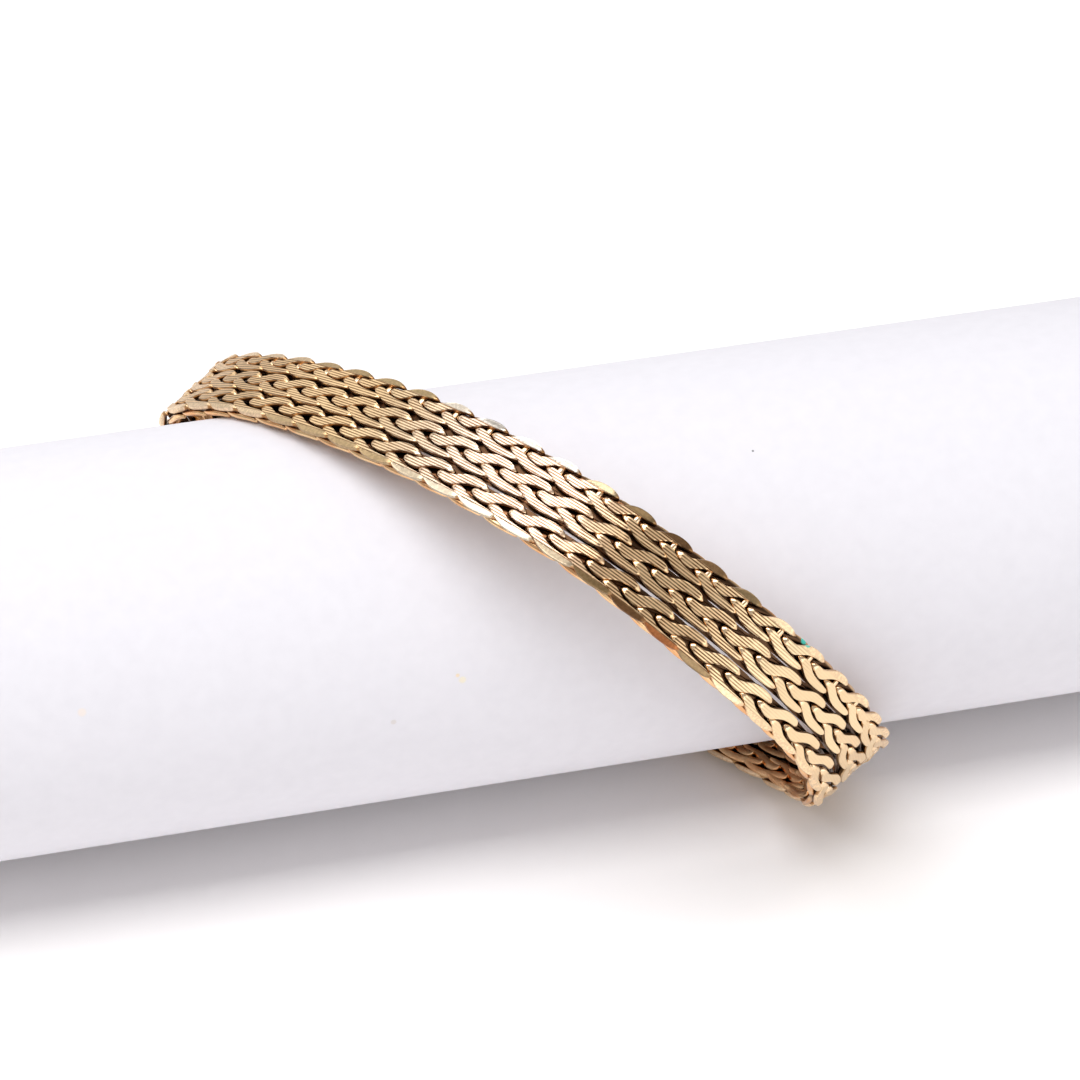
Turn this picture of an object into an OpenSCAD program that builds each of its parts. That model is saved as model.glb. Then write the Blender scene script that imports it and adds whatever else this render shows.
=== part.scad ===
// Woven gold mesh bracelet, worn on a plain paper roll that lies on a table.
// Millimetres, +Z up, the roll along X. The origin is on the table, in the middle of the
// object's length and depth. The band's long way is measured in steps from the loop's front.

/* [Roll] */
// Outside diameter of the roll
roll_d = 37.6; // [37:0.1:38]
// Length of the roll
roll_l = 160; // [130:1:200]
// Height that the band below it lifts the roll off the table
roll_lift = 1.7; // [1.5:0.05:2]
// Distance of the roll's axis from the middle of the object's depth
roll_y = 2.07; // [0:0.01:5]

/* [Loop] */
// Turn of the loop's plane about Z, from square across the roll
loop_yaw = 48; // [44:1:52]
// Lean of the loop's plane towards its near side
loop_lean = 26; // [22:1:30]
// Distance of the loop's middle along the roll
loop_x = -14.5; // [-16:0.5:-8]
// Height of the loop's middle above the roll's axis
loop_h = 4.2; // [4.2:0.05:4.6]

/* [Band] */
// Full thickness of the woven band
band_t = 1.3; // [1.1:0.05:1.3]
// Height of the links' flat tops above the loop's route
band_top = 0.95; // [0.85:0.05:0.95]
// Distance between the middles of neighbouring braids
braid_step = 2.73; // [2.6:0.01:2.9]
// Distance of the middle braid's middle from the loop's route, towards the far side
braid_offset = -0.2; // [-0.3:0.05:0]
// Width of one braid
braid_w = 2.6; // [2.2:0.05:2.6]
// Number of links along one side of a braid, all the way round the loop
link_count = 46; // [40:1:52]
// Slant of a link, as a share of the link step
link_slant = 0.95; // [0.5:0.05:1.2]
// Depth of the groove between two links
groove = 0.45; // [0.2:0.05:0.6]

/* [Clasp] */
// Place of the clasp's middle, as a share of the way round the loop
clasp_at = 0.645; // [0.62:0.005:0.66]
// Length of the clasp
clasp_l = 12; // [10:0.5:14]
// Width of the clasp
clasp_w = 8.6; // [8:0.1:9]
// Thickness of the clasp
clasp_t = 2; // [1.6:0.1:2]
// Radius of the clasp's corners, seen from above
clasp_r = 0.8; // [0.3:0.1:1.2]
// Gap between the clasp and each end of the braids
clasp_gap = 0.15; // [0.1:0.05:0.4]

/* [Hidden] */

// The loop's route as control points of a closed, even cubic spline, in the leaning plane:
// along the plane's level axis, up the plane, out of the plane, and the band's twist in degrees.
// It starts at the front, goes over the roll, down behind it and back below it. The points
// stand closer together at the front, where the band bends most.
ALONG = 0;
UP = 1;
OUT = 2;
TWIST = 3;
route = [
    [-32.9, -15.2, -6.3, -1],
    [-34.1, -8.7, -6.3, 19],
    [-33.7, -1.1, -7.1, 18],
    [-31.3, 4.6, -7.2, 20],
    [-28.8, 10.3, -7.4, 21],
    [-16.4, 19.9, -5.5, 5],
    [-8.1, 23.3, -4.7, -4],
    [4.0, 22.6, -2.4, 0],
    [21.0, 18.5, -1.0, -20],
    [32.5, 11.5, -0.4, -18],
    [37.5, 5.0, -1.0, -16],
    [30.4, -8.3, 0.0, -20],
    [16.9, -19.3, 0.0, -10],
    [2.9, -25.5, -0.9, 10],
    [-11.1, -25.6, -1.6, 29],
    [-16.0, -25.0, -2.1, 35],
    [-22.4, -23.6, -3.2, 34],
    [-29.1, -20.4, -4.1, 7]
];
samples_per_span = 12;
rings_per_link = 4;
// Share of a braid's half width at which its flat top ends
top_share = 0.7;
gold = [0.80, 0.62, 0.33];

roll_z = roll_lift + roll_d / 2;
band_mid = band_top - band_t / 2;
level = [-sin(loop_yaw), cos(loop_yaw), 0];
across = [cos(loop_yaw), sin(loop_yaw), 0];
plane_up = cos(loop_lean) * [0, 0, 1] - sin(loop_lean) * across;
plane_out = cos(loop_lean) * across + sin(loop_lean) * [0, 0, 1];
loop_mid = [loop_x, roll_y, roll_z + loop_h];

// Spline helpers. The parameter t counts control points.
function unit(a) = a / norm(a);
function weights(f) = [pow(1 - f, 3), 3 * pow(f, 3) - 6 * f * f + 4,
                       -3 * pow(f, 3) + 3 * f * f + 3 * f + 1, pow(f, 3)] / 6;
function slopes(f) = [-pow(1 - f, 2), 3 * f * f - 4 * f, -3 * f * f + 2 * f + 1, f * f] / 2;
function blend(t, w) =
    let (i = floor(t), n = len(route))
    w[0] * route[(i + n - 1) % n] + w[1] * route[i % n]
    + w[2] * route[(i + 1) % n] + w[3] * route[(i + 2) % n];
function spread(q) = q[ALONG] * level + q[UP] * plane_up + q[OUT] * plane_out;
function spot(t) = loop_mid + spread(blend(t, weights(t - floor(t))));
function heading(t) = unit(spread(blend(t, slopes(t - floor(t)))));
function twist(t) = blend(t, weights(t - floor(t)))[TWIST];

// Length along the loop against the spline's parameter, so that the links are evenly spaced
sample_count = len(route) * samples_per_span;
sample_spots = [for (k = [0:sample_count]) spot(k / samples_per_span % len(route))];
steps = [for (k = [1:sample_count]) norm(sample_spots[k] - sample_spots[k - 1])];
function running(list, k = 0, sum = 0) =
    k > len(list) ? [] : concat([sum], running(list, k + 1, sum + (k < len(list) ? list[k] : 0)));
reached = running(steps);
loop_length = reached[sample_count];
to_parameter = [for (k = [0:sample_count]) [reached[k], k / samples_per_span]];
function parameter(s) = lookup((s + loop_length) % loop_length, to_parameter);

// Width direction and outward direction of the band at parameter t
function width_way(t) =
    let (h = heading(t), flat = unit(plane_out - (plane_out * h) * h), a = twist(t))
    cos(a) * flat + sin(a) * cross(flat, h);
function outward(t) = cross(width_way(t), heading(t));

// A point of the band: s along the loop, v across it towards the far edge, h outward.
// Nothing reaches below the table, so the band lies flat where it touches.
function on_band(s, v, h) =
    let (t = parameter(s), q = spot(t) + v * width_way(t) + h * outward(t))
    [q.x, q.y, max(q.z, 0)];

link_step = loop_length / link_count;
clasp_s = clasp_at * loop_length;
braid_start = clasp_s + clasp_l / 2 + clasp_gap;
braid_length = loop_length - clasp_l - 2 * clasp_gap;
ring_count = round(braid_length / link_step * rings_per_link);

// One ring of a braid: its middle, then the far side, the inner middle and the near side.
// The two sides rise in turn, half a link apart, and the ring bends back in a V.
function slant_at(x) = link_slant * link_step * min(1, x / (2 * link_step), (braid_length - x) / (2 * link_step));
function rise(k) = (k % rings_per_link) < rings_per_link / 2 ? 0 : groove;
function braid_ring(k, v_mid) =
    let (x = k * braid_length / ring_count, s = braid_start + x, back = slant_at(x),
         low = rise(k), high = rise(k + rings_per_link / 2), bottom = band_top - band_t,
         b = braid_w / 2, c = b * top_share, bend = back * top_share)
    [on_band(s, v_mid, band_top - groove / 2),
     on_band(s - bend, v_mid + c, band_top - low),
     on_band(s - back, v_mid + b - low / 3, band_mid),
     on_band(s - bend, v_mid + c, bottom + low / 3),
     on_band(s, v_mid, bottom + groove / 3),
     on_band(s - bend, v_mid - c, bottom + high / 3),
     on_band(s - back, v_mid - b + high / 3, band_mid),
     on_band(s - bend, v_mid - c, band_top - high)];

module braid(v_mid) {
    n = 8;
    points = [for (k = [0:ring_count]) each braid_ring(k, v_mid)];
    walls = [for (k = [0:ring_count - 1], j = [0:n - 1])
        let (a = k * n + j, b = k * n + (j + 1) % n)
        each [[a, b, a + n], [b, b + n, a + n]]];
    first_cap = [for (j = [n - 1:-1:0]) j];
    last_cap = [for (j = [0:n - 1]) ring_count * n + j];
    color(gold) polyhedron(points, concat(walls, [first_cap, last_cap]));
}

module braid_far() {
    braid(braid_offset + braid_step);
}

module braid_middle() {
    braid(braid_offset);
}

module braid_near() {
    braid(braid_offset - braid_step);
}

// A plain closed box, in line with the band
module clasp() {
    t = parameter(clasp_s);
    h = heading(t);
    w = width_way(t);
    o = outward(t);
    corners = [[1, 1, 0], [-1, 1, 90], [-1, -1, 180], [1, -1, 270]];
    outline = [for (c = corners, a = [0:30:90])
        [c.x * (clasp_l / 2 - clasp_r), c.y * (clasp_w / 2 - clasp_r)]
        + clasp_r * [cos(a + c.z), sin(a + c.z)]];
    color(gold) multmatrix([
        [h.x, w.x, -o.x, spot(t).x],
        [h.y, w.y, -o.y, spot(t).y],
        [h.z, w.z, -o.z, spot(t).z],
        [0, 0, 0, 1]])
        translate([0, 0, -band_mid])
            linear_extrude(height = clasp_t, center = true) polygon(outline);
}

module roll() {
    color("white") translate([0, roll_y, roll_z]) rotate([0, 90, 0])
        cylinder(h = roll_l, d = roll_d, center = true, $fn = 96);
}

braid_far();
braid_middle();
braid_near();
clasp();
roll();
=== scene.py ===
import math

import bmesh
import bpy
import numpy as np
from mathutils import Matrix, Vector


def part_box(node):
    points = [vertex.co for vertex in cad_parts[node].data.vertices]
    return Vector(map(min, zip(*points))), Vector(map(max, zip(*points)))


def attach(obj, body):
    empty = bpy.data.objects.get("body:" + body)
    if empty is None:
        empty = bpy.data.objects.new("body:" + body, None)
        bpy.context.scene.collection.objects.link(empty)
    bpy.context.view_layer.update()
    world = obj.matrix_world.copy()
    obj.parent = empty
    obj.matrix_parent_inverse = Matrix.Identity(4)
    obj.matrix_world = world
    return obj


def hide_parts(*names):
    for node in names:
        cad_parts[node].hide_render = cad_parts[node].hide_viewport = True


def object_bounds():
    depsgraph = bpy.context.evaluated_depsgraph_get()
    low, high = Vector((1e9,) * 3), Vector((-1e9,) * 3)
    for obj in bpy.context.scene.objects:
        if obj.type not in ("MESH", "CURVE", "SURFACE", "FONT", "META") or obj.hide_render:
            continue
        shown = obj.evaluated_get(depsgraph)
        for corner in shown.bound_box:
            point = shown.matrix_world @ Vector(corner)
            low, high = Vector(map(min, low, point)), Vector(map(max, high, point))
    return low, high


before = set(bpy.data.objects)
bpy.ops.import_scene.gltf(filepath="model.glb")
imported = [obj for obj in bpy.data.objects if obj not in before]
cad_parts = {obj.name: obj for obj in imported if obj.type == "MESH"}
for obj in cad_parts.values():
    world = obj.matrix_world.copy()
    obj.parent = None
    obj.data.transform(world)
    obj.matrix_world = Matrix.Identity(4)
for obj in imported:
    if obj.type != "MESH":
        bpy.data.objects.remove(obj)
cadLow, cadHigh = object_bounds()
mm = 0.001
scene = bpy.context.scene
print("frame loaded")


# The loop

loop = {
    "middle": (-14.5, 2.07, 24.7),  # middle of the loop's plane, mm
    "yaw": 48,  # turn of that plane about Z, degrees
    "lean": 26,  # lean of that plane towards its near side, degrees
    "samplesPerSpan": 12,
    "linkCount": 46,  # links along one side of a strand, all the way round
    "claspAt": 0.645,  # share of the way round
}
# Control points of the closed route: along, up and out of the leaning plane, twist in degrees
route = np.array([
    (-32.9, -15.2, -6.3, -1),
    (-34.1, -8.7, -6.3, 19),
    (-33.7, -1.1, -7.1, 18),
    (-31.3, 4.6, -7.2, 20),
    (-28.8, 10.3, -7.4, 21),
    (-16.4, 19.9, -5.5, 5),
    (-8.1, 23.3, -4.7, -4),
    (4.0, 22.6, -2.4, 0),
    (21.0, 18.5, -1.0, -20),
    (32.5, 11.5, -0.4, -18),
    (37.5, 5.0, -1.0, -16),
    (30.4, -8.3, 0.0, -20),
    (16.9, -19.3, 0.0, -10),
    (2.9, -25.5, -0.9, 10),
    (-11.1, -25.6, -1.6, 29),
    (-16.0, -25.0, -2.1, 35),
    (-22.4, -23.6, -3.2, 34),
    (-29.1, -20.4, -4.1, 7),
])


def planeWays():
    yaw, lean = math.radians(loop["yaw"]), math.radians(loop["lean"])
    level = np.array([-math.sin(yaw), math.cos(yaw), 0.0])
    across = np.array([math.cos(yaw), math.sin(yaw), 0.0])
    upright = np.array([0.0, 0.0, 1.0])
    up = math.cos(lean) * upright - math.sin(lean) * across
    out = math.cos(lean) * across + math.sin(lean) * upright
    return np.array([level, up, out])


def unit(a):
    return a / np.linalg.norm(a, axis=1, keepdims=True)


def blendRoute(t, slope=False):  # even cubic spline through the route, or its slope
    span = np.floor(t).astype(int)
    f = t - span
    if slope:
        shares = (-(1 - f) ** 2 / 2, (3 * f * f - 4 * f) / 2, (-3 * f * f + 2 * f + 1) / 2, f * f / 2)
    else:
        shares = ((1 - f) ** 3 / 6, (3 * f**3 - 6 * f * f + 4) / 6,
                  (-3 * f**3 + 3 * f * f + 3 * f + 1) / 6, f**3 / 6)
    return sum(w[:, None] * route[(span + k - 1) % len(route)] for k, w in enumerate(shares))


ways = planeWays()
sampleAt = np.arange(len(route) * loop["samplesPerSpan"] + 1) / loop["samplesPerSpan"]
sampleSpots = blendRoute(sampleAt)[:, :3] @ ways
reached = np.concatenate([[0], np.cumsum(np.linalg.norm(np.diff(sampleSpots, axis=0), axis=1))])
loopLength = reached[-1]
linkStep = loopLength / loop["linkCount"]


def bandFrame(s):  # place, heading, way across and way outward of the band, s mm along the loop
    t = np.interp(s % loopLength, reached, sampleAt) % len(route)
    mixed = blendRoute(t)
    spot = np.array(loop["middle"]) + mixed[:, :3] @ ways
    heading = unit(blendRoute(t, slope=True)[:, :3] @ ways)
    flat = unit(ways[2] - (heading @ ways[2])[:, None] * heading)
    twist = np.radians(mixed[:, 3])[:, None]
    across = np.cos(twist) * flat + np.sin(twist) * np.cross(flat, heading)
    return spot, heading, across, np.cross(across, heading)


def wrap(points, home, stiffness):  # flat points to the loop, each link kept stiff about its middle, home
    def at(s):
        spot, heading, across, outward = bandFrame(s)
        ahead = (points[:, 0] - s)[:, None]
        return spot + ahead * heading + points[:, 1:2] * across + points[:, 2:3] * outward

    bent, rigid = at(points[:, 0]), at(home)
    placed = (bent + stiffness * (rigid - bent)) * mm
    return np.clip(placed, cadLow, cadHigh)  # it lies flat where it meets the table


# Materials

def newMaterial(name):
    material = bpy.data.materials.new(name)
    material.use_nodes = True
    nodes = material.node_tree.nodes
    return material, nodes, material.node_tree.links, nodes["Principled BSDF"]


def mathNode(nodes, links, operation, *values):
    node = nodes.new("ShaderNodeMath")
    node.operation = operation
    for socket, value in zip(node.inputs, values):
        if isinstance(value, (int, float)):
            socket.default_value = value
        else:
            links.new(value, socket)
    return node.outputs[0]


def rangeNode(nodes, links, value, low, high, toLow=0.0, toHigh=1.0):  # a smooth step
    node = nodes.new("ShaderNodeMapRange")
    node.interpolation_type = "SMOOTHSTEP"
    links.new(value, node.inputs["Value"])
    for name, number in (("From Min", low), ("From Max", high), ("To Min", toLow), ("To Max", toHigh)):
        node.inputs[name].default_value = number
    return node.outputs["Result"]


def mixColour(nodes, links, share, first, second, blend="MIX"):
    node = nodes.new("ShaderNodeMix")
    node.data_type = "RGBA"
    node.blend_type = blend
    sockets = [node.inputs[0]] + [s for s in node.inputs if s.type == "RGBA"]
    for socket, value in zip(sockets, (share, first, second)):
        if isinstance(value, float):
            socket.default_value = value
        elif isinstance(value, tuple):
            socket.default_value = (*value, 1.0)
        else:
            links.new(value, socket)
    return [s for s in node.outputs if s.type == "RGBA"][0]


def noiseNode(nodes, links, vector, scale, detail):
    node = nodes.new("ShaderNodeTexNoise")
    node.inputs["Scale"].default_value = scale
    node.inputs["Detail"].default_value = detail
    links.new(vector, node.inputs["Vector"])
    return node.outputs["Fac"]


facetCuts = {"far": 3.26, "near": -3.86}  # lines across the band past which its edges are ground, mm
goldFinish = {
    "gold": (0.92, 0.70, 0.43),
    "duller": (0.82, 0.58, 0.34),  # the other end of the links' tones
    "ends": (0.88, 0.65, 0.42),  # the round starts and the cut ends of the links
    "lineBrown": (0.15, 0.065, 0.025),  # in the engraved lines
    "sides": (0.48, 0.25, 0.10),  # just below the links' tops: brown, partly tarnish and partly painted shade
    "patinaAndShade": (0.075, 0.032, 0.014),  # low down between the links: near black, tarnish and painted shade
    "lineSpacing": 0.26,  # mm
    "lineDepth": 0.012,  # mm, as the scratches' is
    "scratchDepth": 0.004,
    "groundFrom": (0.90, 0.93),  # heights in mm where the ground tops begin
    "sidesFrom": (0.35, 0.70),  # heights where the darkest tarnish and painted shade end and the sides begin
    "topFrom": (0.72, 0.92),  # heights where the sides end
    "linesFrom": (0.207, 0.217),  # metres along the band: the lines are worn faint before this
    "clearFar": (3.70, 3.85),  # mm across the band: past this, its edges are free of tarnish and painted shade
    "clearNear": (-4.30, -4.15),
    "roughness": 0.34,
    "speck": (0.2104, 0.0038, 0.0),  # green speck: metres along and across the band
    "speckRadius": 0.44,  # mm
    "speckGreen": (0.05, 0.55, 0.45),
}
# Tint of the links' tops along the band, painted highlight where it whitens them and painted shade where
# it darkens them: metres along the band, red, green, blue
topHighlightAndShade = [
    (0.213, 1.00, 1.00, 1.00),
    (0.217, 1.06, 1.03, 1.00),
    (0.222, 1.04, 0.97, 0.90),
    (0.229, 1.04, 0.97, 0.91),
    (0.236, 0.90, 0.90, 1.12),
    (0.248, 0.86, 0.89, 1.10),
    (0.254, 0.88, 0.88, 0.90),
    (0.259, 1.08, 1.03, 0.94),
    (0.270, 1.08, 1.02, 0.94),
]
# Brightness of the painted shade and tarnish low down between the links, in the same way, lighter where
# more light reaches in
hollowShadeBrightness = [
    (0.226, 1.0, 1.0, 1.0),
    (0.233, 2.4, 2.1, 1.9),
    (0.250, 2.4, 2.1, 1.9),
    (0.258, 1.5, 1.4, 1.4),
]
# Colour of the facets ground along the far edge and along the near edge, in the same way: painted shade
# and painted highlight along the band
farFacetShading = [
    (0.2150, 0.94, 0.69, 0.43),
    (0.2190, 0.27, 0.18, 0.085),
    (0.2230, 0.31, 0.18, 0.085),
    (0.2272, 0.17, 0.09, 0.04),
    (0.2313, 0.32, 0.21, 0.10),
    (0.2343, 0.45, 0.33, 0.17),
    (0.2381, 0.70, 0.64, 0.56),
    (0.2501, 0.70, 0.64, 0.56),
    (0.2542, 0.44, 0.32, 0.17),
    (0.2670, 0.44, 0.31, 0.16),
    (0.2730, 0.90, 0.68, 0.44),
]
nearFacetShading = [
    (0.2150, 0.94, 0.69, 0.43),
    (0.2190, 0.30, 0.20, 0.10),
    (0.2230, 0.42, 0.15, 0.055),
    (0.2272, 0.17, 0.09, 0.04),
    (0.2313, 0.32, 0.21, 0.10),
    (0.2381, 0.66, 0.56, 0.42),
    (0.2501, 0.66, 0.56, 0.42),
    (0.2542, 0.52, 0.37, 0.20),
    (0.2670, 0.52, 0.37, 0.20),
    (0.2730, 0.90, 0.68, 0.44),
]


def attribute(nodes, links, name):
    worn = nodes.new("ShaderNodeAttribute")
    worn.attribute_name = name
    parts = nodes.new("ShaderNodeSeparateXYZ")
    links.new(worn.outputs["Vector"], parts.inputs["Vector"])
    return parts.outputs


def bandPlace(nodes, links):  # metres along and across the band
    band = nodes.new("ShaderNodeUVMap")
    band.uv_map = "band"
    parts = nodes.new("ShaderNodeSeparateXYZ")
    links.new(band.outputs["UV"], parts.inputs["Vector"])
    return band.outputs["UV"], parts.outputs["X"], parts.outputs["Y"]


def colourAlong(nodes, links, along, tones):
    low, high = tones[0][0], tones[-1][0]
    ramp = nodes.new("ShaderNodeValToRGB")
    stops = ramp.color_ramp.elements
    while len(stops) < len(tones):
        stops.new(0.5)
    for stop, (place, *colour) in zip(stops, tones):
        stop.position = (place - low) / (high - low)
        stop.color = (*colour, 1.0)
    node = nodes.new("ShaderNodeMapRange")
    links.new(along, node.inputs["Value"])
    node.inputs["From Min"].default_value, node.inputs["From Max"].default_value = low, high
    links.new(node.outputs["Result"], ramp.inputs["Fac"])
    return ramp.outputs["Color"]


def farFrom(nodes, links, place, spot):  # distance from a fixed spot
    gone = nodes.new("ShaderNodeVectorMath")
    gone.operation = "DISTANCE"
    links.new(place, gone.inputs[0])
    gone.inputs[1].default_value = spot
    return gone.outputs["Value"]


def pastEdges(nodes, links, across, far, near):  # 1 past a line along each edge of the band, in mm
    farShare = rangeNode(nodes, links, across, far[0] * mm, far[1] * mm)
    nearShare = rangeNode(nodes, links, across, near[0] * mm, near[1] * mm, 1.0, 0.0)
    return mathNode(nodes, links, "MAXIMUM", farShare, nearShare)


def verdigris(nodes, links, shader, flat, colour):  # one green speck on the far edge
    look = goldFinish
    gone = farFrom(nodes, links, flat, look["speck"])
    radius = look["speckRadius"] * mm
    green = rangeNode(nodes, links, gone, radius * 0.6, radius, 1.0, 0.0)
    links.new(mixColour(nodes, links, green, colour, look["speckGreen"]), shader.inputs["Base Color"])
    links.new(mathNode(nodes, links, "SUBTRACT", 1.0, green), shader.inputs["Metallic"])


def engravedGold():
    look = goldFinish
    material, nodes, links, shader = newMaterial("engraved_gold")
    flat, along, across = bandPlace(nodes, links)
    height, tone, sharp = attribute(nodes, links, "heightToneEdge")
    start, home, end = attribute(nodes, links, "place")
    spot = nodes.new("ShaderNodeTexCoord").outputs["Object"]

    def step(value, low, high, toLow=0.0, toHigh=1.0):
        return rangeNode(nodes, links, value, low, high, toLow, toHigh)

    def above(value, name):  # a step between two heights of the finish
        low, high = look[name]
        return step(value, low * mm, high * mm)

    def maths(operation, *values):
        return mathNode(nodes, links, operation, *values)

    farCut, nearCut = ((facetCuts[name] - 0.01, facetCuts[name] + 0.01) for name in ("far", "near"))
    facet = pastEdges(nodes, links, across, farCut, nearCut)
    ground = above(height, "groundFrom")

    # Engraved lines, broken by the scratches
    wave = maths("SINE", maths("MULTIPLY", across, 2 * math.pi / (look["lineSpacing"] * mm)))
    scratch = noiseNode(nodes, links, spot, 900.0, 3.0)
    line = maths("MULTIPLY", step(wave, -0.15, 0.4), step(scratch, 0.2, 0.6, 0.6, 1.0))
    line = maths("MULTIPLY", line, step(along, *look["linesFrom"], 0.06, 1.0))
    line = maths("MULTIPLY", line, step(along, 0.229, 0.236, 1.0, 0.88))  # fainter under the painted highlight
    line = maths("MULTIPLY", line, ground)
    line = maths("MULTIPLY", line, maths("SUBTRACT", 1.0, facet))

    # The ground tops, with the facets along the band's edges
    gold = mixColour(nodes, links, maths("MULTIPLY", tone, 0.5), look["gold"], look["duller"])
    # painted highlight and painted shade on the tops along the band
    gold = mixColour(nodes, links, 1.0, gold, colourAlong(nodes, links, along, topHighlightAndShade), "MULTIPLY")
    lined = mixColour(nodes, links, line, gold, look["lineBrown"])
    speckled = step(noiseNode(nodes, links, spot, 4000.0, 2.0), 0.40, 0.65, 0.86, 1.1)
    farSide = step(across, -0.1 * mm, 0.1 * mm)
    # painted shade and painted highlight on the facets, read at each link
    farShading, nearShading = (colourAlong(nodes, links, home, tones) for tones in (farFacetShading, nearFacetShading))
    faceted = mixColour(nodes, links, farSide, nearShading, farShading)
    faceted = mixColour(nodes, links, 1.0, faceted, speckled, "MULTIPLY")
    faceted = mixColour(nodes, links, facet, lined, faceted)
    tip = maths("MAXIMUM", start, end)
    topped = mixColour(nodes, links, tip, faceted, look["ends"])

    # Tarnish and painted shade from the hollows up over the sides to the tops. Ends and the band's outer
    # edges are clean further down.
    clearEdges = pastEdges(nodes, links, across, look["clearFar"], look["clearNear"])
    clean = maths("ADD", maths("MULTIPLY", tip, 0.34 * mm), maths("MULTIPLY", clearEdges, 0.5 * mm))
    # the height that the tarnish and painted shade read, raised at the ends and the outer edges
    worn = maths("ADD", clean, height)
    hollowShade = colourAlong(nodes, links, along, hollowShadeBrightness)
    patinaAndShade = mixColour(nodes, links, 1.0, hollowShade, look["patinaAndShade"], "MULTIPLY")
    colour = mixColour(nodes, links, above(worn, "sidesFrom"), patinaAndShade, look["sides"])
    top = mixColour(nodes, links, ground, topped, faceted)
    colour = mixColour(nodes, links, above(worn, "topFrom"), colour, top)
    verdigris(nodes, links, shader, flat, colour)
    rough = maths("MULTIPLY_ADD", scratch, 0.16, look["roughness"] - 0.08)
    smooth = maths("MULTIPLY", tip, maths("SUBTRACT", 1.0, ground))
    links.new(maths("MULTIPLY_ADD", smooth, -0.20, rough), shader.inputs["Roughness"])

    # Relief of lines and scratches
    relief = maths("MULTIPLY", line, -look["lineDepth"] * mm)
    relief = maths("ADD", relief, step(sharp, 0.55, 1.0, 0.0, -0.02 * mm))  # the sharp edges look rounded
    relief = maths("MULTIPLY_ADD", scratch, look["scratchDepth"] * mm, relief)
    bump = nodes.new("ShaderNodeBump")
    bump.inputs["Distance"].default_value = 1.0
    bump.inputs["Strength"].default_value = 0.8
    links.new(relief, bump.inputs["Height"])
    links.new(bump.outputs["Normal"], shader.inputs["Normal"])
    return material


wireLook = {
    # painted shade with tarnish between the wires
    "insideShade": (0.080, 0.042, 0.022),
    "copper": (0.78, 0.42, 0.20),
    "gold": (0.90, 0.62, 0.34),
    "bareBelow": (-0.20, -0.04),  # heights in mm where the bare undersides end
    "bareFar": (3.5, 3.8),  # mm across the band: past this, the wires are bare too
    "bareNear": (-4.2, -3.9),
    "roughness": 0.24,
}


def wireGold():  # painted shade with tarnish, near black, between the links; copper gold along the edges and on the underside
    material, nodes, links, shader = newMaterial("wire_gold")
    flat, along, across = bandPlace(nodes, links)
    height = attribute(nodes, links, "heightToneEdge")[0]
    spot = nodes.new("ShaderNodeTexCoord").outputs["Object"]
    patch = rangeNode(nodes, links, noiseNode(nodes, links, spot, 500.0, 3.0), 0.35, 0.65)
    low, high = wireLook["bareBelow"]
    below = rangeNode(nodes, links, height, low * mm, high * mm, 1.0, 0.0)
    beside = pastEdges(nodes, links, across, wireLook["bareFar"], wireLook["bareNear"])
    bare = mathNode(nodes, links, "MAXIMUM", below, beside)
    colour = mixColour(nodes, links, patch, wireLook["copper"], wireLook["gold"])
    # the painted shade is lighter along the band where more light reaches in
    hollowShade = colourAlong(nodes, links, along, hollowShadeBrightness)
    insideShade = mixColour(nodes, links, 1.0, hollowShade, wireLook["insideShade"], "MULTIPLY")
    verdigris(nodes, links, shader, flat, mixColour(nodes, links, bare, insideShade, colour))
    shader.inputs["Roughness"].default_value = wireLook["roughness"]
    return material


def plainGold():
    material, nodes, links, shader = newMaterial("plain_gold")
    spot = nodes.new("ShaderNodeTexCoord").outputs["Object"]
    rub = noiseNode(nodes, links, spot, 400.0, 4.0)
    colour = mixColour(nodes, links, rub, goldFinish["gold"], goldFinish["duller"])
    links.new(colour, shader.inputs["Base Color"])
    shader.inputs["Metallic"].default_value = 1.0
    links.new(mathNode(nodes, links, "MULTIPLY_ADD", rub, 0.2, 0.22), shader.inputs["Roughness"])
    return material


paperLook = {
    "shade": (0.72, 0.705, 0.75),
    "white": (0.78, 0.765, 0.81),
    "fibreDepth": 0.02,  # mm
    "roughness": 0.85,
}
paperSpecks = [  # place on the roll and radius, mm, and colour
    (-59.9, -15.3, 27.6, 0.50, (0.80, 0.73, 0.70)),
    (-26.2, -16.0, 25.8, 0.24, (0.82, 0.68, 0.50)),
    (-25.8, -16.1, 25.3, 0.42, (0.81, 0.75, 0.62)),
    (-32.3, -16.7, 22.0, 0.34, (0.68, 0.64, 0.64)),
    (3.7, -5.2, 37.8, 0.14, (0.20, 0.20, 0.21)),
]


def paper():
    material, nodes, links, shader = newMaterial("white_paper")
    place = nodes.new("ShaderNodeTexCoord").outputs["Object"]
    fibre = noiseNode(nodes, links, place, 700.0, 6.0)
    colour = mixColour(nodes, links, fibre, paperLook["shade"], paperLook["white"])
    for x, y, z, radius, speckColour in paperSpecks:
        gone = farFrom(nodes, links, place, (x * mm, y * mm, z * mm))
        speck = rangeNode(nodes, links, gone, radius * 0.5 * mm, radius * mm, 1.0, 0.0)
        colour = mixColour(nodes, links, speck, colour, speckColour)
    links.new(colour, shader.inputs["Base Color"])
    shader.inputs["Roughness"].default_value = paperLook["roughness"]
    bump = nodes.new("ShaderNodeBump")
    bump.inputs["Distance"].default_value = paperLook["fibreDepth"] * mm
    bump.inputs["Strength"].default_value = 0.5
    links.new(fibre, bump.inputs["Height"])
    links.new(bump.outputs["Normal"], shader.inputs["Normal"])
    return material


engraved = engravedGold()
wireFinish = wireGold()
claspFinish = plainGold()
paperFinish = paper()
print("materials made")


# Links. A row stands across a link: how far along from the link's start and how far across its low
# edge is, the same for its high edge, and how far its top drops below the ground plane, in mm.

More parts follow.
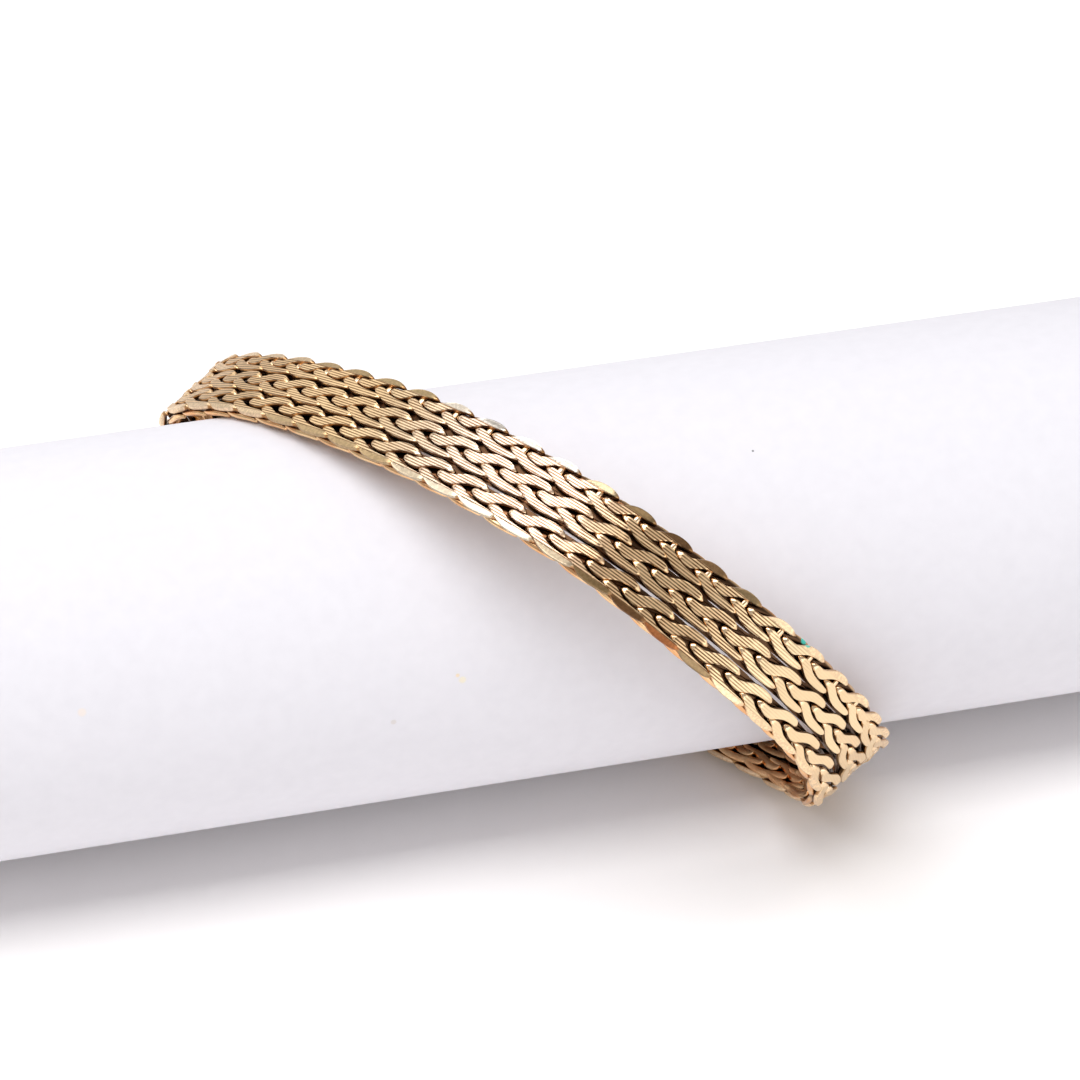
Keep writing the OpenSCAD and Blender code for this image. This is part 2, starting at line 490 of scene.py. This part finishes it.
linkRowsA = [
    (-0.34, -0.26, -0.34, 0.14, 0.44),
    (-0.20, -0.38, -0.20, 0.24, 0.22),
    (0.08, -0.43, 0.06, 0.29, 0.0),
    (0.55, -0.59, 0.55, 0.26, 0.0),
    (1.20, -0.75, 1.10, 0.27, 0.0),
    (1.86, -0.62, 1.76, 0.54, 0.0),
    (2.48, -0.20, 2.40, 0.93, 0.0),
    (3.25, 0.20, 3.10, 1.13, 0.0),
    (4.20, 0.34, 4.20, 1.13, 0.0),
    (4.95, 0.33, 4.90, 0.99, 0.0),
    (5.38, 0.46, 5.34, 0.68, 0.32),
]
linkRowsFar = [  # the outer row, a little slimmer and further out
    (-0.34, -0.24, -0.34, 0.14, 0.44),
    (-0.20, -0.35, -0.20, 0.25, 0.22),
    (0.08, -0.40, 0.06, 0.30, 0.0),
    (0.60, -0.57, 0.60, 0.29, 0.0),
    (1.20, -0.70, 1.12, 0.28, 0.0),
    (1.78, -0.44, 1.68, 0.60, 0.0),
    (2.32, 0.02, 2.24, 0.98, 0.0),
    (3.10, 0.42, 3.00, 1.22, 0.0),
    (4.00, 0.52, 3.90, 1.23, 0.0),
    (4.65, 0.56, 4.60, 1.07, 0.0),
    (5.02, 0.68, 4.98, 0.88, 0.32),
]
linkRowsB = [
    (-0.34, -0.56, -0.34, -0.28, 0.44),
    (-0.20, -0.66, -0.20, -0.22, 0.22),
    (0.08, -0.76, 0.12, -0.18, 0.0),
    (0.60, -0.99, 0.62, -0.09, 0.0),
    (1.15, -1.26, 1.14, -0.20, 0.0),
    (1.75, -1.52, 1.68, -0.52, 0.0),
    (2.50, -1.64, 2.42, -0.78, 0.0),
    (3.40, -1.62, 3.40, -0.84, 0.0),
    (4.30, -1.56, 4.30, -0.86, 0.0),
    (4.92, -1.36, 4.92, -0.96, 0.0),
    (5.22, -1.20, 5.22, -1.06, 0.32),
]
wireRowsA = [
    (-0.40, -0.20, -0.40, 0.10, 0.40),
    (-0.10, -0.62, -0.10, 0.32, 0.04),
    (1.00, -0.84, 1.20, 0.34, 0.0),
    (2.10, -0.36, 2.00, 0.80, 0.0),
    (3.30, 0.14, 3.10, 1.06, 0.0),
    (4.50, 0.14, 4.60, 1.02, 0.04),
    (5.20, 0.30, 5.10, 0.70, 0.40),
]
wireRowsB = [
    (-0.40, -0.60, -0.40, -0.26, 0.40),
    (-0.10, -0.84, -0.10, -0.02, 0.04),
    (0.90, -1.20, 0.95, 0.10, 0.0),
    (1.90, -1.52, 1.80, -0.46, 0.0),
    (3.10, -1.58, 3.00, -0.70, 0.0),
    (4.40, -1.48, 4.50, -0.66, 0.04),
    (5.10, -1.30, 5.10, -0.90, 0.40),
]
tieRows = [  # a short round wire across a strand, seen between two links
    (-0.96, -1.00, -0.56, -1.10, 0.50),
    (-1.06, -0.60, -0.44, -0.70, 0.10),
    (-1.10, -0.05, -0.40, -0.10, 0.0),
    (-1.10, 0.40, -0.40, 0.45, 0.0),
    (-0.98, 0.95, -0.48, 1.05, 0.30),
]
# Lengths in mm, levels of subdivision, and shares
link = {
    "top": 0.95,  # height of the ground plane
    "depth": 0.62,
    "rim": 0.05,  # width of the rounded side, seen from above
    "taper": 0.25,  # how far in from each side the bottom lies, as a share of the width
    "bulge": 0.06,  # how far out each side stands, in the same way
    "levels": 2,
    "stiffness": 0.8,  # share by which a link stays straight where the band bends
    "cutSlope": 0.12,  # fall of the facet ground along the band's two outer edges
    "middle": (2.5, 0.3),  # the middle of a link: back from its start and across
    "toneAt": 1.8,  # how far back from its start its facet's colour is read
    "startFade": 0.25,  # length of its round start, which is polished
    "endFade": (5.0, 5.2),  # the same for its cut end, back from its start
    "play": {"tip": 0.010, "turn": 0.006},  # spread of the links' small tilts and turns
}
wire = {
    "top": 0.30,
    "depth": 0.60,
    "levels": 2,
    "stiffness": 0.5,
    "shift": 1.7,  # how far along from the links the wires below them lie
}
tie = {"top": 0.62, "depth": 0.45, "levels": 1, "stiffness": 0.8}


def meshFrom(name, bm):
    mesh = bpy.data.meshes.new(name)
    bm.to_mesh(mesh)
    bm.free()
    return mesh


def ringOf(row, shape, ground):  # one ring of six points round a link
    lowAlong, lowAcross, highAlong, highAcross, drop = row
    low, high = Vector((-lowAlong, lowAcross, 0)), Vector((-highAlong, highAcross, 0))
    way = (high - low).normalized()
    width = (high - low).length
    top = shape["top"] - drop
    middle = top - shape["depth"] / 2
    bottom = top - shape["depth"]
    taper = way * width * link["taper"]
    inset = way * link["rim"] if ground and drop == 0 else taper
    bulge = way * width * link["bulge"]
    spots = (
        (low + inset, top),
        (high - inset, top),
        (high + bulge, middle),
        (high - taper, bottom),
        (low + taper, bottom),
        (low - bulge, middle),
    )
    return [Vector((p.x, p.y, z)) for p, z in spots]


def linkCage(name, rows, shape, ground=False):
    bm = bmesh.new()
    crease = bm.edges.layers.float.new("crease_edge")
    bmesh.ops.create_circle(bm, cap_ends=True, segments=6, radius=1)
    cap = bm.faces[:][0]
    for number, row in enumerate(rows):
        before = cap.verts[:]
        if number:
            cap = bmesh.ops.extrude_discrete_faces(bm, faces=[cap])["faces"][0]
        for corner, place in zip(cap.verts, ringOf(row, shape, ground)):
            corner.co = place
        if ground and number and row[-1] == 0 and rows[number - 1][-1] == 0:
            for side in (0, 1):  # the two long edges of the ground top stay sharp
                edge = bm.edges.get((before[side], cap.verts[side]))
                edge[crease] = 1.0
                edge.smooth = False
    bmesh.ops.holes_fill(bm, edges=bm.edges, sides=6)
    bmesh.ops.recalc_face_normals(bm, faces=bm.faces)
    for face in bm.faces:
        face.smooth = True
    return meshFrom(name, bm)


def evaluated(mesh, addModifiers):  # the mesh as its modifiers leave it
    body = bpy.data.objects.new("row", mesh)
    scene.collection.objects.link(body)
    addModifiers(body.modifiers)
    made = bpy.data.meshes.new_from_object(body.evaluated_get(bpy.context.evaluated_depsgraph_get()))
    bpy.data.objects.remove(body)
    return made


def smoothed(cage, levels):
    def add(modifiers):
        smooth = modifiers.new("smooth", "SUBSURF")
        smooth.levels = smooth.render_levels = levels
    return evaluated(cage, add)


def repeated(mesh, count):
    def add(modifiers):
        array = modifiers.new("array", "ARRAY")
        array.count = count
        array.use_relative_offset = False
        array.use_constant_offset = True
        array.constant_offset_displace = (linkStep, 0, 0)
    return evaluated(mesh, add)


def groundEdge(mesh, side, cut):  # grinds a sloping facet on the part of a link past the cut
    bm = bmesh.new()
    bm.from_mesh(mesh)
    whole = bm.verts[:] + bm.edges[:] + bm.faces[:]
    parted = bmesh.ops.bisect_plane(bm, geom=whole, plane_co=(0, cut, 0), plane_no=(0, side, 0))
    for edge in parted["geom_cut"]:
        if isinstance(edge, bmesh.types.BMEdge) and min(v.co.z for v in edge.verts) > link["top"] - 0.1:
            edge.smooth = False
    for vert in bm.verts:
        past = side * (vert.co.y - cut)
        if past > 0:
            share = max(0, 1 - (link["top"] - vert.co.z) / link["depth"])
            vert.co.z -= past * link["cutSlope"] * share
    return meshFrom("ground", bm)


def coordinates(mesh):
    co = np.zeros(len(mesh.vertices) * 3)
    mesh.vertices.foreach_get("co", co)
    return co.reshape(-1, 3)


def nearEdge(mesh):  # 1 at each point on a sharp edge, 0 elsewhere
    near = np.zeros(len(mesh.vertices))
    if "sharp_edge" in mesh.attributes:
        sharp = np.zeros(len(mesh.edges), bool)
        mesh.attributes["sharp_edge"].data.foreach_get("value", sharp)
        ends = np.zeros(len(mesh.edges) * 2, int)
        mesh.edges.foreach_get("vertices", ends)
        near[ends.reshape(-1, 2)[sharp].ravel()] = 1
    return near


# How far the links have slid, in mm. The first column is the length along the loop. The next three
# are the far, middle and near strands along the band, then the same across it. The last is how far
# the near strand is tucked in, past the far one.
slack = np.array([
    (0, 0.30, -3.00, -4.50, 0.10, 0.10, -0.20, 1.80),
    (3, 0.30, -3.00, -4.50, 0.10, 0.10, -0.20, 1.90),
    (8, 0.25, -2.20, -3.50, 0.05, 0.10, -0.30, 1.25),
    (10.5, 0.05, -1.40, -2.50, 0.0, 0.05, -0.40, 0.90),
    (13, -0.15, -0.65, -1.20, 0.0, 0.0, -0.40, 0.50),
    (15.5, -0.20, -0.20, -0.55, 0.0, 0.0, -0.30, 0.20),
    (19, 0.0, -0.05, -0.20, 0.0, 0.0, -0.20, 0.0),
    (31, 0.25, 0.25, 0.25, 0.0, 0.0, -0.15, 0.0),
    (45, -0.27, 0.03, -0.19, 0.0, 0.10, -0.05, 0.0),
    (65, -0.80, -0.23, -0.70, 0.0, 0.10, 0.0, 0.0),
    (76, -0.91, -0.68, -1.33, 0.0, 0.0, 0.05, 0.0),
    (84, -1.10, -1.00, -1.50, 0.0, 0.0, 0.0, 0.0),
    (100, -1.20, -1.20, -1.70, 0.0, 0.0, 0.0, 0.0),
    (130, 0.0, 0.0, 0.0, 0.0, 0.0, 0.0, 0.0),
    (160, 0.0, 0.0, 0.0, 0.05, 0.10, 0.20, 0.0),
    (170, 0.0, -0.30, -0.50, 0.05, 0.10, 0.20, 0.0),
    (177, 0.1, -0.80, -1.20, 0.10, 0.10, 0.20, 0.0),
    (182, 0.2, -1.60, -2.50, 0.10, 0.10, 0.0, 0.40),
    (186.5, 0.30, -3.00, -4.50, 0.10, 0.10, -0.20, 1.80),
])
strandGap = 2.73  # between the middles of two strands, mm


def slidAt(s, strandNumber, across):  # slides of a strand along, across and outward
    along, aside, tucked = (np.interp(s % loopLength, slack[:, 0], slack[:, k])
                            for k in (1 + strandNumber, 4 + strandNumber, 7))
    return along, aside, -tucked * (strandGap - across) / (2 * strandGap)


def setPoints(mesh, name, *columns):  # writes three numbers on each point
    values = mesh.attributes.new(name, "FLOAT_VECTOR", "POINT")
    values.data.foreach_set("vector", np.array(columns).T.astype(np.float32).ravel())


def laid(mesh, perLink, start, across, strandNumber, rng, stiffness):  # moves a row of links to the loop
    flat = coordinates(mesh)
    number = np.arange(len(flat)) // perLink
    count = number.max() + 1
    tone = rng.uniform(0, 1, count)
    tip = rng.normal(0, link["play"]["tip"], (count, 2))
    turn = rng.normal(0, link["play"]["turn"], count)
    setPoints(mesh, "heightToneEdge", flat[:, 2] * mm, tone[number], nearEdge(mesh))
    back, aboutAcross = link["middle"]
    home = start + number * linkStep - back  # where each link's middle lies along the band
    slid, aside, lifted = slidAt(home, strandNumber, flat[:, 1] + across)
    own = flat[:, 0] - number * linkStep  # along, from the link's own start
    flat[:, 0] += start
    flat[:, 1] += across
    engravedAt = flat[:, :2] * mm  # the lines keep to the strand, and slide with it
    flat[:, 1] += aside
    away = flat[:, :2] - np.array([home, np.full(len(flat), across + aboutAcross)]).T
    flat[:, 2] += lifted + away[:, 0] * tip[number, 0] + away[:, 1] * tip[number, 1]
    flat[:, 0] += slid - away[:, 1] * turn[number]
    flat[:, 1] += away[:, 0] * turn[number]
    uv = mesh.uv_layers.new(name="band")
    corner = np.zeros(len(mesh.loops), int)
    mesh.loops.foreach_get("vertex_index", corner)
    uv.data.foreach_set("uv", engravedAt[corner].astype(np.float32).ravel())
    atStart = np.interp(own, (-link["startFade"], 0), (0, 1))
    atEnd = np.interp(-own, link["endFade"], (0, 1))
    if own.min() > -2:  # a short tie is polished all over
        atEnd[:] = 1
    setPoints(mesh, "place", atStart, (start + number * linkStep - link["toneAt"]) * mm, atEnd)
    placed = wrap(flat, home + slid, stiffness)
    mesh.vertices.foreach_set("co", placed.astype(np.float32).ravel())
    mesh.update()
    return mesh


def shown(name, bm, material):  # a finished shape as an object of the scene
    mesh = meshFrom(name, bm)
    mesh.materials.append(material)
    piece = bpy.data.objects.new(name, mesh)
    scene.collection.objects.link(piece)
    return piece


def joined(name, meshes, material, *stoodFor):
    bm = bmesh.new()
    for mesh in meshes:
        bm.from_mesh(mesh)
    piece = shown(name, bm, material)
    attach(piece, "root")
    if stoodFor:
        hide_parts(*stoodFor)
    return piece


# Strands: where the first links of rows a and b start, as shares of a link, then in mm the strand's line
# across the band, how far row b and the wires lie off it, and which row is ground along the band's edge
strands = {
    "far": {"a": 0.385, "b": 0.825, "across": 2.727, "shiftB": 0.10, "wireOut": 0.12, "ground": "a"},
    "middle": {"a": 0.597, "b": 0.045, "across": 0.0, "shiftB": 0.0, "wireOut": 0.0, "ground": None},
    "near": {"a": 0.920, "b": 0.385, "across": -2.727, "shiftB": -0.10, "wireOut": -0.10, "ground": "b"},
}
claspMiddle = loop["claspAt"] * loopLength
firstLink = math.ceil((claspMiddle + 9.15) / linkStep)  # the first links trail back to the clasp
lastStart = claspMiddle + loopLength - 1.0  # the last ones start inside it
smoothLinks = {
    "a": smoothed(linkCage("link_a", linkRowsA, link, True), link["levels"]),
    "far": smoothed(linkCage("link_far", linkRowsFar, link, True), link["levels"]),
    "b": smoothed(linkCage("link_b", linkRowsB, link, True), link["levels"]),
    "wireA": smoothed(linkCage("wire_a", wireRowsA, wire), wire["levels"]),
    "wireB": smoothed(linkCage("wire_b", wireRowsB, wire), wire["levels"]),
    "tie": smoothed(linkCage("tie", tieRows, tie), tie["levels"]),
}


# The dark sheet of painted shade inside each strand. Lengths in mm. The edges are measured across, from
# the strand's line.
core = {
    "edges": {"far": (-1.60, 0.70), "middle": (-1.60, 1.02), "near": (-1.25, 1.02)},
    "heights": (0.10, 0.22),
    "start": 124.0,
    "length": 180.5,
    "steps": 270,
    "frontBend": (0.5, 7.0, 0.38),  # where the stiff wires stand out, how far round, and how much
    "wave": (31.2, 7.8, 0.10),  # where the slits between two strands are open, how often, and how much
}


def shadeStrip(name, across, strandNumber):  # a dark sheet of painted shade inside a strand, which shuts its wires' gaps
    bm = bmesh.new()
    bmesh.ops.create_grid(bm, x_segments=core["steps"], y_segments=1, size=0.5)
    raised = bmesh.ops.extrude_face_region(bm, geom=bm.faces[:])["geom"]
    bmesh.ops.translate(bm, vec=(0, 0, 1), verts=[v for v in raised if isinstance(v, bmesh.types.BMVert)])
    bmesh.ops.recalc_face_normals(bm, faces=bm.faces)
    middle, period, depth = core["wave"]
    for v in bm.verts:
        v.co.x = core["start"] + (v.co.x + 0.5) * core["length"]
        shut = depth * max(0, -math.cos((v.co.x - loopLength - middle) / period * 2 * math.pi))
        side = v.co.y > 0
        v.co.y = across + core["edges"][name][side] + (shut if side else -shut)
        v.co.z = core["heights"][v.co.z > 0.5]
    mesh = meshFrom("core", bm)
    flat = coordinates(mesh)
    aside, lifted = slidAt(flat[:, 0], strandNumber, flat[:, 1])[1:]
    fromFront = (flat[:, 0] + loopLength / 2) % loopLength - loopLength / 2
    place, reach, rise = core["frontBend"]
    flat[:, 1] += aside
    flat[:, 2] += lifted + rise * np.exp(-((fromFront - place) / reach) ** 2)
    mesh.vertices.foreach_set("co", wrap(flat, flat[:, 0], 0.0).astype(np.float32).ravel())
    return mesh


def layStrand(name, strand, strandNumber):
    rng = np.random.default_rng(strandNumber + 3)

    def row(mesh, side, shift, along, stiffness):
        start = (firstLink + strand[side]) * linkStep + along
        count = int((lastStart - start) // linkStep) + 1
        across = strand["across"] + shift
        return laid(repeated(mesh, count), len(mesh.vertices), start, across, strandNumber, rng, stiffness)

    tops, lows = [], []
    for side, shift in (("a", 0.0), ("b", strand["shiftB"])):
        top = smoothLinks["far" if name == "far" and side == "a" else side]
        if strand["ground"] == side:
            cut = facetCuts[name]
            top = groundEdge(top, math.copysign(1, cut), cut - strand["across"] - shift)
        tops.append(row(top, side, shift, 0, link["stiffness"]))
        low = smoothLinks["wire" + side.upper()]
        lows.append(row(low, side, shift + strand["wireOut"], wire["shift"], wire["stiffness"]))
    lows.append(shadeStrip(name, strand["across"], strandNumber))
    if name == "far":
        tops.append(row(smoothLinks["tie"], "a", 0, 0, tie["stiffness"]))
    top = joined("links_" + name, tops, engraved, "braid_" + name)
    low = joined("wires_" + name, lows, wireFinish)
    print(name, "strand:", len(top.data.polygons), "and", len(low.data.polygons), "faces")


for strandNumber, (name, strand) in enumerate(strands.items()):
    layStrand(name, strand, strandNumber)


# Clasp and roll

claspSize = {"length": 12.0, "width": 8.6, "thickness": 2.0, "rise": 0.3, "corner": 0.8, "edge": 0.35}
rollSize = {"rim": 0.4, "segments": 192}  # its length and radius are the CAD roll's


def makeClasp():
    size = claspSize
    bm = bmesh.new()
    bmesh.ops.create_cube(bm, size=1)
    bmesh.ops.scale(bm, vec=(size["length"], size["width"], size["thickness"]), verts=bm.verts)
    upright = [e for e in bm.edges if abs(e.verts[0].co.z - e.verts[1].co.z) > 0.1]
    bmesh.ops.bevel(bm, geom=upright, offset=size["corner"],
                    affect="EDGES", segments=6, profile=0.5, material=-1)
    level = [e for e in bm.edges if abs(e.verts[0].co.z - e.verts[1].co.z) < 0.001]
    bmesh.ops.bevel(bm, geom=level, offset=size["edge"],
                    affect="EDGES", segments=4, profile=0.5, material=-1)
    for face in bm.faces:
        face.smooth = True
    spot, heading, across, outward = (Vector(a[0]) for a in bandFrame(np.array([claspMiddle])))
    spot += outward * size["rise"]
    turn = Matrix((heading, across, outward)).transposed().to_4x4()
    bmesh.ops.transform(bm, matrix=Matrix.Scale(mm, 4) @ Matrix.Translation(spot) @ turn, verts=bm.verts)
    bmesh.ops.recalc_face_normals(bm, faces=bm.faces)
    piece = shown("clasp_box", bm, claspFinish)
    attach(piece, "root")
    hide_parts("clasp")


def makeRoll():
    low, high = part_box("roll")
    length, radius = high.x - low.x, (high.z - low.z) / 2
    bm = bmesh.new()
    bmesh.ops.create_cone(bm, cap_ends=True, segments=rollSize["segments"],
                          radius1=radius, radius2=radius, depth=length)
    rims = [e for e in bm.edges if abs(e.verts[0].co.z - e.verts[1].co.z) < 1e-6]
    bmesh.ops.bevel(bm, geom=rims, offset=rollSize["rim"] * mm,
                    affect="EDGES", segments=3, profile=0.5, material=-1)
    bmesh.ops.rotate(bm, matrix=Matrix.Rotation(math.radians(90), 3, "Y"), verts=bm.verts)
    bmesh.ops.translate(bm, vec=(low + high) / 2, verts=bm.verts)
    for face in bm.faces:
        face.smooth = len(face.verts) < 5
    bmesh.ops.recalc_face_normals(bm, faces=bm.faces)
    piece = shown("paper_roll", bm, paperFinish)
    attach(piece, "root")
    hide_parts("roll")


makeClasp()
makeRoll()
print("clasp and roll made")


# Floor, light and camera

studio = {  # the floor, and the light that comes from all round
    "floor": (0.95, 0.93, 0.925, 1),
    "floorReach": 2.0,  # metres from the middle
    "air": (1.0, 0.99, 0.99, 1),
    "airStrength": 0.47,
}


def makeFloor():
    bm = bmesh.new()
    bmesh.ops.create_grid(bm, x_segments=1, y_segments=1, size=studio["floorReach"])
    material, nodes, links, shader = newMaterial("pale_floor")
    shader.inputs["Base Color"].default_value = studio["floor"]
    shader.inputs["Roughness"].default_value = 0.9
    floor = shown("floor", bm, material)


lamps = {  # place, where it points, width, height, metres, and brightness of its face
    "overhead": ((-0.26, -0.13, 0.80), (-0.26, -0.13, 0.0), 1.10, 0.34, 4.5),
    "back": ((-0.30, 0.28, 0.80), (-0.30, 0.28, 0.0), 0.40, 0.44, 2.9),
    "rear": ((-0.45, 1.30, 0.75), (0.0, 0.0, 0.0), 1.6, 0.80, 0.72),
    "front": ((0.45, -1.1, 0.22), (0.0, 0.0, 0.1), 1.5, 0.55, 1.55),
}


def makeLights():
    for name, (place, aim, width, height, brightness) in lamps.items():
        lamp = bpy.data.lights.new(name, "AREA")
        lamp.shape = "RECTANGLE"
        lamp.size, lamp.size_y = width, height
        lamp.energy = brightness * math.pi * width * height
        body = bpy.data.objects.new(name, lamp)
        body.location = place
        body.rotation_euler = (Vector(aim) - Vector(place)).to_track_quat("-Z", "Y").to_euler()
        scene.collection.objects.link(body)
    world = bpy.data.worlds.new("studio")
    world.use_nodes = True
    air = world.node_tree.nodes["Background"].inputs
    air["Color"].default_value = studio["air"]
    air["Strength"].default_value = studio["airStrength"]
    scene.world = world


cameraPlace = {"turn": 12.91, "down": 40.0, "distance": 392.7, "lens": 139.97}  # degrees and mm


def makeCamera():
    turn, down = math.radians(cameraPlace["turn"]), math.radians(cameraPlace["down"])
    way = Vector((math.sin(turn) * math.cos(down), math.cos(turn) * math.cos(down), -math.sin(down)))
    lens = bpy.data.cameras.new("camera")
    lens.lens = cameraPlace["lens"]
    lens.sensor_width = 36
    lens.clip_start, lens.clip_end = 0.01, 10
    body = bpy.data.objects.new("camera", lens)
    body.location = (Vector(loop["middle"]) - way * cameraPlace["distance"]) * mm
    body.rotation_euler = way.to_track_quat("-Z", "Y").to_euler()
    scene.collection.objects.link(body)
    scene.camera = body


makeFloor()
makeLights()
makeCamera()
scene.view_settings.view_transform = "Standard"
print("floor, light and camera made")
